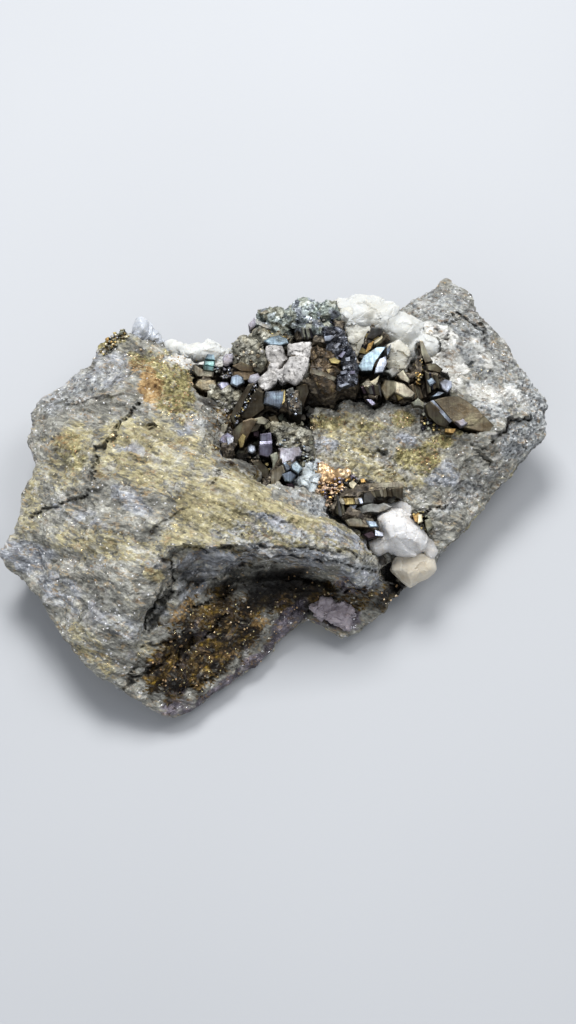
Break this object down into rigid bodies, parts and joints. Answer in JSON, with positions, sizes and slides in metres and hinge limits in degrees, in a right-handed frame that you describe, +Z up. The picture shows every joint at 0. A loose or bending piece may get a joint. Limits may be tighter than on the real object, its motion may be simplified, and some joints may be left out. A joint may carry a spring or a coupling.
{
  "type": "cubanite mineral specimen",
  "caption": "Hand-sized slab of sulphide schist with a hollow lined by bronze twinned cubanite crystals and white calcite along its upper edge.",
  "frame": {"origin": "middle of the whole specimen's footprint, on the plane it rests on", "axes": "+X along its longest way, to the right as seen from the front; +Y away from the viewer; +Z up, through the thickness, with the crystals facing up"},
  "size_m": [0.107, 0.0928, 0.0254],
  "materials": {
    "matrix": "rough foliated rock, grey-green to straw with rust patches and a fine metallic sparkle",
    "cubanite": "metallic bronze to steel-grey crystal faces, striated, with a blue-violet tarnish",
    "chalcopyrite": "brassy gold to copper metallic grains",
    "calcite": "milky white, slightly glossy on broken faces",
    "quartz": "cloudy white with a glassy surface"
  },
  "bodies": {
    "root": {"matrix": "matrix", "cubanite_crust": "cubanite", "cubanite_lower_cluster": "cubanite", "cubanite_fan": "cubanite", "cubanite_bronze_row": "cubanite", "cubanite_wedge": "cubanite", "chalcopyrite_knot": "chalcopyrite", "calcite_nodule": "calcite", "calcite_crest": "calcite", "calcite_notch": "calcite", "calcite_granules": "calcite", "chalcopyrite_crust": "chalcopyrite", "quartz_tip": "quartz"}
  },
  "joints": []
}
